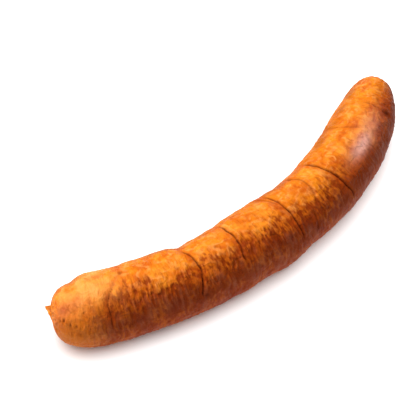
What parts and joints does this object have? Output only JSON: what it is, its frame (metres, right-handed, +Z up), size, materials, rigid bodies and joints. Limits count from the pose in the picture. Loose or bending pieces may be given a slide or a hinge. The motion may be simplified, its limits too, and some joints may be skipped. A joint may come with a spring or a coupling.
{
  "type": "cured sausage",
  "caption": "Smoked cured sausage link in its natural casing, bent like a bow and lying on its side, with a blunt end, a slimmer end and pinched creases.",
  "frame": {"origin": "on the table plane, under the middle of the bounding box", "axes": "+X from the blunt end to the slim end, +Y into the hollow of the bend, +Z up from the table that the belly rests on"},
  "size_m": [0.2136, 0.0564, 0.0312],
  "materials": {
    "smoked_casing": "satin"
  },
  "bodies": {
    "root": {"sausage": "smoked_casing"}
  },
  "joints": []
}
